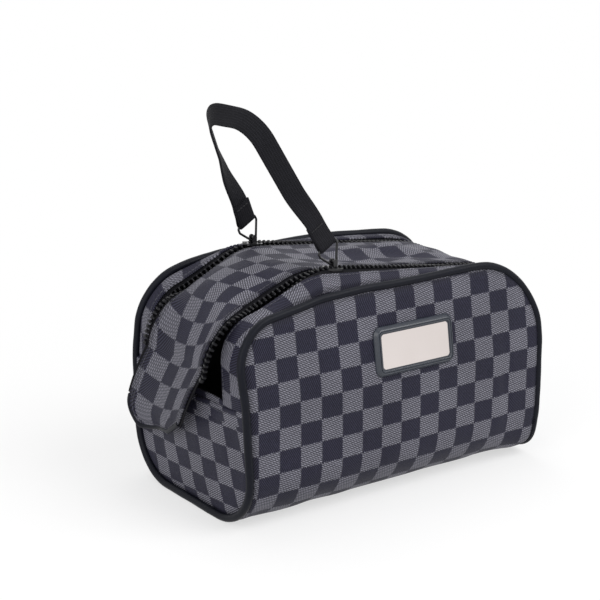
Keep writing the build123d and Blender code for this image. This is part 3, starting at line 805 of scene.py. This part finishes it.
def stitch_shape(length=2.7, radius=0.32):
    """One stitch: a short bowed thread."""
    # Along the stitch, out of the cloth, and thickness
    bow = [(-0.5, -0.5, 0.6), (-0.36, 0.1, 1), (0, 0.35, 1.1), (0.36, 0.1, 1), (0.5, -0.5, 0.6)]
    angles = np.linspace(0, 2 * pi, 6, endpoint=False)
    rings = []
    for along, lift, size in bow:
        ring = [(cos(a) * size, lift + sin(a) * size) for a in angles]
        rings.append([(along * length, across * radius, out * radius) for across, out in ring])
    return loft_rings(rings)


def sew(name, edge, first, last, inwards, body, lift=stitch_lift, pitch=3.4, material=thread, blend=None):
    """A row of stitches along an edge, a little inwards of it."""
    points, faces = stitch_shape()
    points = [(x, y - inwards, z + lift) for x, y, z in points]
    row = scatter(name, edge, np.arange(first, last, pitch), (points, faces), [material])
    if blend:
        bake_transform(row)
    else:
        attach(row, body)


# Piping


def make_piping():
    low_y = half_depth - piping_radius
    low = bend_height - piping_radius * tan(lean / 2)

    def at(x, z):
        return (x, -(low_y - (z - low) * tan(lean)), z)

    front = [(-half_length, -low_y, low), at(-half_length, wall_shoulder), at(crown_x, wall_crown)]
    front += [at(half_length, wall_right), (half_length, -low_y, low), (half_length, -low_y, piping_radius)]
    rear = [(x, -y, z) for x, y, z in reversed(front)]
    foot = [(-half_length, low_y, piping_radius), (-half_length, -low_y, piping_radius)]
    foot_radius = bottom_radius - piping_radius
    radii = [piping_bend, left_radius, crown_radius, right_radius, piping_bend, foot_radius]
    path = rounded(front + rear + foot, radii + radii[::-1] + [foot_radius] * 2, closed=True)
    path = Path(Path(path, closed=True).spaced(2.0)[:-1], closed=True)
    path = Path(settled(path.points[:-1]), closed=True)
    points = path.at(np.linspace(0, path.length, ceil(path.length / 2.4), endpoint=False))
    wobble = cloud(points, 34.0, 4)[:, None]
    points = points + unit(points - bag_middle) * wobble * 0.5
    points[:, 2] = np.maximum(points[:, 2], piping_radius + 0.05)
    radius = piping_radius * (1 + 0.04 * cloud(points, 8.0, 6))
    piping = tube("piping", points, 16, radius, [piping_skin])
    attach(piping, "bag")
    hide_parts("piping_cover", "piping_cord")


# Side strips


def strip_route(y):
    """The strip's outer face where it is y from the middle plane, always with the same number of points."""
    share = (y - strip_edge) / (wall_top_y - strip_edge)
    heights = [low + share * (high - low) for low, high in zip(zip_line, wall_line)]
    path = rounded(over_the_top(*heights, base=strip_foot), corner_radii())
    dense = []
    for a, b in zip(path[:-1], path[1:]):
        long = 30 if len(dense) == 0 or np.linalg.norm(b - a) > 10 else 1
        dense += [a + (b - a) * k / long for k in range(long)]
    return np.array(dense + [path[-1]])


def strip_grid(side, columns=14):
    """The strip's face from the zipper to the piping, row by row along the zipper."""
    near, far_edge = strip_route(strip_edge), strip_route(half_depth)
    count = min(len(near), len(far_edge))
    near, far_edge = near[:count], far_edge[:count]
    share = np.full(count, 0.6)
    inset = 4.2
    for _ in range(12):
        z = near[:, 1] + share * (far_edge[:, 1] - near[:, 1])
        wall = half_depth - inset - np.maximum(0, z - bend_height) * tan(lean)
        share = (wall - strip_edge) / (half_depth - strip_edge)
    across = np.linspace(0, 1, columns)[None] * share[:, None]
    xz = near[:, None] + across[..., None] * (far_edge - near)[:, None]
    y = strip_edge + across * (half_depth - strip_edge)
    if side < 0:
        near_zip = 1 - across / share[:, None]
        y = y - 9.0 * near_zip * smooth((-112 - xz[..., 0]) / 26)
    return settled(joined(xz[..., 0], side * y, xz[..., 1]))


def make_strip(side, word, hem_column=2):
    """The strip's canvas from its hem to the piping. Returns the edge that the zipper follows."""
    grid = strip_grid(side)
    along = Path(grid[:, 0]).lengths[:, None]
    across = np.linalg.norm(grid - grid[:, :1], axis=-1)
    width = across[:, -1:]
    normals = grid_normals(grid)
    sunk = 1.6 * (1 - smooth((width - across) / 4.5))
    swell = 1.0 * hump(across, width / 2, width / 2 + 2)
    place = joined(along * 0.6, across)
    soft = 0.8 * cloud(place, 15.0, 12 + side) * hump(across, width / 2, width / 2)
    grid = grid + normals * (swell + soft - sunk)[..., None]
    edge = np.minimum(width - across, seam_shade_and_wear_reach)
    first, down = {1: (10.4, 3.0), -1: (5.4, 0.0)}[side]
    weave = joined((along + first) / square_wide, (across + down) / square_high, edge)
    strip = shell(f"side_canvas_{word}", grid[:, hem_column:], canvas, weave[:, hem_column:], coated)
    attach(strip, "bag")
    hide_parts(f"side_strip_{word}")
    hem = Edge(grid[::-1, hem_column], grid[::-1, hem_column + 1])
    sew(f"side_seam_{word}", hem, 3, hem.length - 3, 2.0, "bag")
    return Edge(grid[::-1, 0], grid[::-1, 1])


# Lid and flap: one strip of cloth from the right end over the top and down to the tongue


def lid_rows():
    """The lid's middle line from the right end to where the tongue begins, as (x, z)."""
    corners = over_the_top(*zip_line, half=flap_half, base=tongue_start)
    corners[-1] = (half_length, strip_foot)
    path = Path(rounded(corners[::-1], corner_radii()[::-1]))
    return path.spaced(2.5)


def tongue_patch(rows=34):
    """The hanging tongue seen from its end, as (y, z), filled in between its rounded edges."""
    slope = tan(tongue_slant)
    front_low = (-lid_edge + (tongue_start - tongue_front_low) * slope, tongue_front_low)
    rear_low = (lid_edge + (tongue_start - tongue_rear_low) * slope, tongue_rear_low)
    loop = [(-lid_edge, tongue_start), front_low, *tongue_tip, rear_low, (lid_edge, tongue_start)]
    outline = Path(rounded(loop, [0] + [tongue_radius] * 4 + [0], turns=10))
    nearest = [np.argmin(np.linalg.norm(outline.points - np.array(tip), axis=1)) for tip in tongue_tip]
    corner_a, corner_b = outline.lengths[nearest]
    d = np.linspace(0, 1, rows)[:, None, None]
    c = np.linspace(0, 1, lid_columns)[None, :, None]
    front = outline.at(np.linspace(0, corner_a, rows))[:, None]
    rear = outline.at(np.linspace(outline.length, corner_b, rows))[:, None]
    start = outline.points[0] * (1 - c) + outline.points[-1] * c
    tip = outline.at(np.linspace(corner_a, corner_b, lid_columns))[None]
    corners = (1 - d) * ((1 - c) * front[:1] + c * rear[:1]) + d * ((1 - c) * front[-1:] + c * rear[-1:])
    return (1 - c) * front + c * rear + (1 - d) * start + d * tip - corners


def lid_folds(x, y, s, across):
    """How far the lid's cloth stands out, in millimetres; across runs from -1 to 1 over its width."""
    free = 1 - np.abs(across) ** 2.5
    place = joined(s * 0.7, y)
    behind = smooth((x + 50) / 40)
    sag = -4.0 * hump(x, 10, 70) * hump(y, -12, 26)
    ridge = 4.0 * hump(x - 0.5 * y, 25, 70) * hump(y, 16 - 0.1 * x, 17)
    waves = 1.3 * np.sin((x + 1.4 * y) / 9.0) * hump(x, 60, 90) * behind
    soft = 1.6 * cloud(place, 24.0, 21) + 0.5 * cloud(place, 9.0, 22)
    dome = 8.5 * hump(x, -98, 46)
    dished = 5.0 * (across ** 2 - 0.5) * smooth((-114 - x) / 22)
    return free * (sag + ridge + waves + dome + soft * (0.5 + 0.5 * behind)) + dished


def lid_cloth():
    """The grid of the lid and flap, its cloth coordinates, and the row where the tongue begins."""
    middle = lid_rows()
    share = np.linspace(-1, 1, lid_columns)[None]
    top = joined(middle[:, :1], share * lid_edge, middle[:, 1:])
    patch = tongue_patch()
    bow = 3.0 * np.sin(np.linspace(0, pi, patch.shape[0]))[:, None]
    tongue = joined(-flap_half - bow, *parted(patch))
    grid = sagged(np.concatenate([top, tongue[1:]]))
    lengths = Path(middle).lengths
    s = np.concatenate([lengths, np.full(patch.shape[0] - 1, lengths[-1])])[:, None]
    x, y, z = parted(grid)
    drop = np.where(np.arange(len(grid))[:, None] >= len(middle), tongue_start - z, 0.0)
    past = (s - np.interp(-crown_x, -middle[:, 0], lengths) + drop / cos(tongue_slant)) / 100
    pulled = smooth((-30 - x) / 30)
    columns = 1.5 - 2.4 * share + pulled * (0.61 * share ** 2 + 0.58 * hump(past, 0.62, 0.47))
    gone = np.where(past > 0, 7.0 * past - 0.94 * past ** 2, 5.57 * past)
    rows = 10.06 - gone + 0.15 * share - 0.52 * share ** 2
    normals = grid_normals(grid)
    normals[len(middle):] = (-1.0, 0.0, 0.0)
    grid = grid + normals * lid_folds(x, y, s + drop, share)[..., None]
    grid[..., 1] -= 7.0 * hump(z, 146, 36) * smooth((-108 - x) / 26)
    edge = np.minimum(np.minimum(np.arange(lid_columns), np.arange(lid_columns)[::-1]) * 2.5, seam_shade_and_wear_reach)
    return grid, joined(columns, rows, edge[None]), len(middle)


fold_span = ((fold_x + 9) * MM, 0.0, 0.180), ((fold_x - 9) * MM, 0.0, 0.1735)
across_fold = ("bag", "lid_flap", *fold_span)


def tape_strip(edge, first, last, angles=None, step=2.5):
    """A zipper tape along an edge of the canvas, under it and out to the teeth."""
    lengths = np.linspace(first, last, ceil((last - first) / step))
    origin, axes = edge.at(lengths)
    reach = np.linspace(-tape_hidden, tape_reach, 6)
    bend = np.zeros(len(lengths)) if angles is None else angles(lengths)
    rows = []
    for r in reach:
        turned = swing(axes, bend * smooth((r + 1.0) / 2.0))
        rows.append(origin + turned[1] * r - turned[2] * tape_face)
    return np.stack(rows, axis=1), joined(reach[None], lengths[:, None], 0.0)


def moulded_block(plan, middle, straight, eased):
    """A block of the zipper's chain, eased at its top and bottom, in the axes of the edge."""
    rings = []
    for height, size in ((-chain_half, eased), (-straight, 1.0), (straight, 1.0), (chain_half, eased)):
        rings.append([(x * size, middle + (y - middle) * size, height - chain_depth) for x, y in plan])
    return loft_rings(rings)


tooth_plan = [(-0.72, 3.1), (0.72, 3.1), (0.72, 5.0), (0.98, 5.9), (0.78, 7.5)]
tooth_plan += [(-0.78, 7.5), (-0.98, 5.9), (-0.72, 5.0)]
tooth = moulded_block(tooth_plan, 5.2, 1.15, 0.74)
stop_block = moulded_block([(-1.6, 3.2), (1.6, 3.2), (1.6, 6.3), (-1.6, 6.3)], 4.75, 1.2, 0.8)


def length_at_x(edge, x):
    """Length along a zipper's edge, from the right end, where its top passes an X."""
    points = edge.path.points
    top = points[:, 2] > 130
    return float(np.interp(-x, -points[top, 0], edge.path.lengths[top]))


def make_zip(word, strip, lid, slider_x, teeth_end, tape_end):
    """Tapes and teeth of one zipper: closed behind the slider, open from it to the tongue."""
    split = length_at_x(strip, slider_x)

    def drop(lengths):
        return open_drop * smooth((lengths - split) / open_run)

    grid, weave = tape_strip(strip, 1, strip.length - 1, drop)
    sheet = shell(f"strip_tape_{word}", grid, tape, weave, [tape_cloth])
    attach(sheet, "bag")
    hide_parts(f"strip_tape_{word}")
    lengths = np.arange(2, strip.length - 2, tooth_pitch) + tooth_pitch / 2
    row = scatter(f"strip_teeth_{word}", strip, lengths, tooth, [tooth_skin], drop(lengths))
    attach(row, "bag")
    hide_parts(f"strip_teeth_{word}")
    grid, weave = tape_strip(lid, 1, tape_end)
    sheet = shell(f"lid_tape_{word}", grid, tape, weave, [tape_cloth])
    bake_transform(sheet)
    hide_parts(f"lid_tape_{word}", f"flap_tape_{word}")
    row = scatter(f"lid_teeth_{word}", lid, np.arange(2, teeth_end, tooth_pitch), tooth, [tooth_skin])
    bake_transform(row)
    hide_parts(f"lid_teeth_{word}", f"flap_teeth_{word}")
    stop = scatter(f"flap_stop_{word}", lid, np.array([teeth_end + 2.6]), stop_block, [tooth_skin])
    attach(stop, "lid_flap")
    return stop


def make_lid(strips):
    grid, weave, tongue_row = lid_cloth()
    lid = shell("lid_canvas", grid, canvas, weave, coated)
    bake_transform(lid)
    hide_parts("lid_panel", "lid_flap")
    for word, column, inner, slider_x in (("front", 0, 1, slider_front_x), ("rear", -1, -2, slider_rear_x)):
        edge = Edge(grid[:, column], grid[:, inner])
        heights = edge.path.points[tongue_row:, 2]
        low_row = tongue_row + int(np.argmax(heights < flap_tape_end))
        teeth_end, tape_end = edge.path.lengths[tongue_row] - 3, edge.path.lengths[low_row]
        make_zip(word, strips[word], edge, slider_x, teeth_end, tape_end)
        sew(f"lid_seam_{word}", edge, 3, tape_end, 2.4, None, blend=across_fold)
    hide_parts("flap_stops")
    make_tongue(grid, tongue_row)


def make_tongue(grid, tongue_row):
    """The second layer under the tongue, and the rolled binding round its tip."""
    tongue = grid[tongue_row + 1 :]
    normals = grid_normals(tongue)
    face = (tongue - normals * (canvas + layer_gap))[:-2, 3:-3]
    weave = joined(face[..., 1], face[..., 2], 0.0)
    facing = shell("tongue_facing", face, facing_sheet, weave, [lining_cloth])
    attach(facing, "lid_flap")
    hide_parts("tongue_facing")
    front, rear = tongue[:, 0], tongue[:, -1]
    low_front = front[front[:, 2] < flap_tape_end + 1]
    low_rear = rear[rear[:, 2] < flap_tape_end + 1]
    loop = np.vstack([low_front, tongue[-1, 1:-1], low_rear[::-1]])
    path = Path(loop).spaced(1.5) + (canvas * 0.5, 0, 0)
    sides = 12
    section = [(1.5 * cos(a), 1.9 * sin(a)) for a in np.linspace(0, 2 * pi, sides, endpoint=False)]
    roll = tube("tongue_binding", path, sides, 1.0, [piping_skin], closed=False, section=section)
    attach(roll, "lid_flap")
    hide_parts("tongue_binding")
    inside = Path(np.vstack([tongue[4:-3, 2], tongue[-3, 2:-2], tongue[-3:4:-1, -3]]))
    step = Path(np.vstack([tongue[4:-3, 3], tongue[-4, 2:-2], tongue[-3:4:-1, -4]]))
    lengths = np.linspace(0, 1, 120)
    seam = Edge(inside.at(lengths * inside.length), step.at(lengths * step.length))
    sew("tongue_seam", seam, 2, seam.length - 2, 0.0, "lid_flap", 0.1)


# Strap, in the plane of its pull


def strap_axes():
    """Middle between the two pins, and the ways along them, along the pull and across the webbing."""
    slope = atan((zip_crown - zip_right) / (half_length - crown_x))
    up = np.array([sin(slope), 0, cos(slope)])
    pins = []
    for x, side in ((slider_front_x, -1), (slider_rear_x, 1)):
        top = np.array([x, side * zip_y, zip_crown - (x - crown_x) * tan(slope)])
        pins.append(top + up * (slider_top + pin_height - chain_depth))
    way = unit(pins[1] - pins[0])
    across = unit(np.cross(way, (0, 0, 1.0)))
    upright = np.cross(across, way)
    pull = upright * cos(strap_lean) - across * sin(strap_lean)
    return (pins[0] + pins[1]) / 2, way, pull, np.cross(way, pull), np.linalg.norm(pins[1] - pins[0]) / 2


def strap_leg(pin_half):
    """The webbing's front leg in the plane of its pull: its foot, the way up it and the way inwards."""
    foot = np.array([-pin_half, bar_height + eye_radius + 0.3])
    leg = unit(np.array([-strap_top_half, strap_top]) - foot)
    return foot, leg, np.array([leg[1], -leg[0]])


def strap_line(foot, leg, inward):
    """The webbing's middle line in that plane, with both ends folded round the bails, and its lengths."""
    bar = np.array([foot[0], bar_height])
    turn = eye_radius + strap_sheet / 2
    folded = foot + inward * strap_sheet
    loop = [bar + turn * (cos(a) * inward - sin(a) * leg) for a in np.linspace(0, pi, 9)]
    left = np.array([folded + leg * strap_tail, folded + leg * 4.0, *loop, foot + leg * 8.0 - inward * 0.15])
    right = (left * [-1, 1])[::-1]
    corners = [left[-1], (-strap_top_half + 2, strap_top - 5), (strap_top_half + 2, strap_top - 6), right[0]]
    crown = rounded(corners, [0, 21.0, 19.0, 0])
    path = Path(np.vstack([left, crown[1:-1], right]))
    lengths = np.linspace(0, path.length, ceil(path.length / 1.6))
    flat = path.at(lengths)
    for _ in range(3):
        flat[1:-1] = (flat[:-2] + 2 * flat[1:-1] + flat[2:]) / 4
    return flat, lengths


def strap_section():
    """The webbing's section round its middle, as (across, out), with round edges."""
    half, thick = strap_width / 2, strap_sheet / 2
    level = half - 0.8
    first = [(level, thick), (half - 0.2, thick * 0.6), (half, 0), (half - 0.2, -thick * 0.6)]
    first += [(t * level, -thick) for t in (1, 0.5, 0, -0.5)]
    return np.array(first + [(-across, -out) for across, out in first])


def make_strap():
    origin, way, pull, wide, pin_half = strap_axes()
    plane = np.array([way, pull])
    foot, leg, inward = strap_leg(pin_half)
    flat, lengths = strap_line(foot, leg, inward)
    drawn = 3.0 * smooth((flat[:, 1:] - bar_height - strap_tail) / 30)
    centre = origin + flat @ plane + drawn * (-0.83, 0.56, 0.0)
    along = unit(np.gradient(flat, axis=0)) @ plane
    share = lengths[:, None] / lengths[-1]
    front_twist = radians(-30) * smooth((share - 0.13) / 0.12)
    rear_twist = radians(-52) * np.clip((0.87 - share) / 0.17, 0, 1)
    twist = front_twist + (rear_twist - front_twist) * smooth((share - 0.45) / 0.12)
    side_way = wide * np.cos(twist) + np.cross(along, wide) * np.sin(twist)
    out = np.cross(side_way, along)
    section = strap_section()[None]
    ripple = 0.25 * np.sin(lengths / 11.0)[:, None, None] * np.cos(section[..., :1] / 7)
    grid = centre[:, None] + side_way[:, None] * section[..., :1] + out[:, None] * (section[..., 1:] + ripple)
    weave = joined(section[..., 0], lengths[:, None], 0.0).reshape(-1, 3)
    strap = build("strap_webbing", grid.reshape(-1, 3), ring_faces(*grid.shape[:2]), weave, [webbing])
    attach(strap, "strap")
    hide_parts("strap")
    seam_half = strap_width / 2 - 1.6
    for word, mirror in (("front", 1), ("rear", -1)):
        middle, leg_way, inside = [v * [mirror, 1] for v in (foot, leg, inward)]
        for face, turned, offset in (("outer", -1, -0.5), ("inner", 1, 1.5)):
            line = middle + leg_way * (strap_tail - 3.0) + inside * strap_sheet * offset
            place = origin + line @ plane
            ends = np.array([place + wide * t for t in np.linspace(-seam_half, seam_half, 12)])
            outward = np.broadcast_to(inside * turned @ plane, ends.shape)
            seam = Edge(ends, ends - leg_way @ plane, upright=outward)
            sew(f"strap_seam_{word}_{face}", seam, 1, seam.length, 0.0, "strap", 0.1, 3.0, dark_thread)


# Nameplate


def plate_axes():
    """Centre of the nameplate on the front wall, the way up it and the way out of it."""
    y = -(half_depth - (plate_height - bend_height) * tan(lean))
    up = np.array([0, sin(lean), cos(lean)])
    out = np.array([0, -cos(lean), sin(lean)])
    return np.array([plate_x, y, plate_height]), up, out


def round_rectangle(length, height, radius, parts=9):
    """Points round a rectangle with round corners, with equal counts for every size."""
    points = []
    for sx, sy, start in ((1, 1, 0), (-1, 1, 90), (-1, -1, 180), (1, -1, 270)):
        for angle in np.radians(np.linspace(start, start + 90, parts + 1)):
            x = sx * (length / 2 - radius) + radius * cos(angle)
            y = sy * (height / 2 - radius) + radius * sin(angle)
            points.append((x, y))
    return points


def make_nameplate():
    centre, up, out = plate_axes()
    # Round the border's section: how far in from its outline, and how far out of the wall
    steps = [
        (0.9, 0.1), (0.0, 0.35), (0.0, 0.9), (0.5, 1.6), (1.3, 2.6), (2.0, 3.5), (2.5, 3.9), (3.0, 4.0),
        (3.2, 3.5), (3.5, 3.5), (3.7, 4.0), (4.2, 4.05), (4.55, 3.8), (4.7, 3.4), (4.8, 3.05), (5.2, 3.0),
        (5.6, 2.98), (5.6, 0.1),
    ]
    rings = []
    for inset, height in steps:
        radius = max(frame_corner - inset, 2.6)
        loop = round_rectangle(frame_length - 2 * inset, frame_height - 2 * inset, radius)
        rings.append([centre + np.array([x, 0, 0]) + up * y + out * height for x, y in loop])
    border = build("nameplate_border", *loft_rings(rings, closed=True), None, [frame_paint], sharp=38)
    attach(border, "bag")
    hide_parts("nameplate_frame")


# Everything in its order


def dress(node, material, bevel=0.0):
    """A finish for a CAD node that stays."""
    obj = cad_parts[node]
    obj.data.materials.clear()
    obj.data.materials.append(material)
    if bevel:
        edge = obj.modifiers.new("soft_edges", "BEVEL")
        edge.width = bevel * MM
        edge.segments = 3
        edge.limit_method = "ANGLE"
        edge.angle_limit = radians(35)


make_wrap()
make_lining()
make_ends()
make_piping()
zip_edges = {"front": make_strip(-1, "front"), "rear": make_strip(1, "rear")}
make_lid(zip_edges)
make_strap()
make_nameplate()
for name in ("slider_front", "slider_rear"):
    dress(name, black_metal, 0.3)
for name in ("bail_front", "bail_rear"):
    dress(name, black_metal)
dress("nameplate_plate", plate_metal)
dress("nameplate_backing", backing_metal)

# Stage, lights and camera
floor_size = 6.0


def floor_material():
    """A pale floor that looks white and keeps the shadow near the bag."""
    f = Finish("studio_floor", roughness=0.9, specular=0.1)
    f.colour(linear(245, 245, 245))
    path = f.node("ShaderNodeLightPath")
    white = f.node("ShaderNodeEmission")
    seen = f.math("MAXIMUM", path.outputs["Is Camera Ray"], path.outputs["Is Glossy Ray"])
    where = f.node("ShaderNodeTexCoord")
    away = f.node("ShaderNodeVectorMath", operation="LENGTH")
    f.feed(away.inputs[0], where.outputs["Object"])
    share = f.node("ShaderNodeMapRange", interpolation_type="SMOOTHSTEP")
    for name, value in (("From Min", 0.18), ("From Max", 0.55), ("To Min", 0.62), ("To Max", 1.0)):
        share.inputs[name].default_value = value
    f.feed(share.inputs["Value"], away.outputs["Value"])
    both = f.node("ShaderNodeMixShader")
    parts = (seen * share.outputs["Result"], f.shader.outputs[0], white.outputs[0])
    for socket, value in zip(both.inputs, parts):
        f.feed(socket, value)
    f.feed(f.tree.nodes["Material Output"].inputs[0], both.outputs[0])
    return f.material


half = floor_size / 2 / MM
corners = [(-half, -half, 0), (half, -half, 0), (half, half, 0), (-half, half, 0)]
floor = build("studio_floor", corners, [[0, 1, 2, 3]], None, [floor_material()])

world = bpy.data.worlds.new("studio")
bpy.context.scene.world = world
world.use_nodes = True
sky = world.node_tree
ambient = sky.nodes["Background"]
backdrop = sky.nodes.new("ShaderNodeBackground")
for shade, strength in ((ambient, 0.5), (backdrop, 1.0)):
    shade.inputs["Color"].default_value = (1.0, 1.0, 1.0, 1.0)
    shade.inputs["Strength"].default_value = strength
rays = sky.nodes.new("ShaderNodeLightPath")
seen = sky.nodes.new("ShaderNodeMath")
seen.operation = "MAXIMUM"
choice = sky.nodes.new("ShaderNodeMixShader")
sky.links.new(rays.outputs["Is Camera Ray"], seen.inputs[0])
sky.links.new(rays.outputs["Is Glossy Ray"], seen.inputs[1])
sky.links.new(seen.outputs[0], choice.inputs[0])
sky.links.new(ambient.outputs[0], choice.inputs[1])
sky.links.new(backdrop.outputs[0], choice.inputs[2])
sky.links.new(choice.outputs[0], sky.nodes["World Output"].inputs[0])


def lamp(name, place, size, power):
    """A soft square lamp that faces the bag."""
    data = bpy.data.lights.new(name, "AREA")
    data.shape = "SQUARE"
    data.size = size
    data.energy = power
    obj = bpy.data.objects.new(name, data)
    obj.location = place
    obj.rotation_euler = (Vector((0, 0, 0.09)) - Vector(place)).to_track_quat("-Z", "Y").to_euler()
    bpy.context.scene.collection.objects.link(obj)


lamp("key", (0.7, -1.2, 1.5), 1.2, 23.0)
lamp("fill", (-1.6, -0.6, 0.9), 1.4, 13.0)
lamp("top", (0.1, 0.7, 1.9), 1.2, 9.0)

camera_azimuth = radians(-33.94)
camera_height = radians(16.63)
camera_distance = 1144.25
camera_target = (-39.46, 0.0, 143.52)
camera_data = bpy.data.cameras.new("camera")
camera_data.lens = 90.0
camera_data.sensor_width = 36.0
camera = bpy.data.objects.new("camera", camera_data)
bpy.context.scene.collection.objects.link(camera)
level_reach = cos(camera_height)
back = Vector((sin(camera_azimuth) * level_reach, -cos(camera_azimuth) * level_reach, sin(camera_height)))
camera.location = (Vector(camera_target) + back * camera_distance) * MM
camera.rotation_euler = back.to_track_quat("Z", "Y").to_euler()
bpy.context.scene.camera = camera

bpy.context.scene.view_settings.view_transform = "Standard"
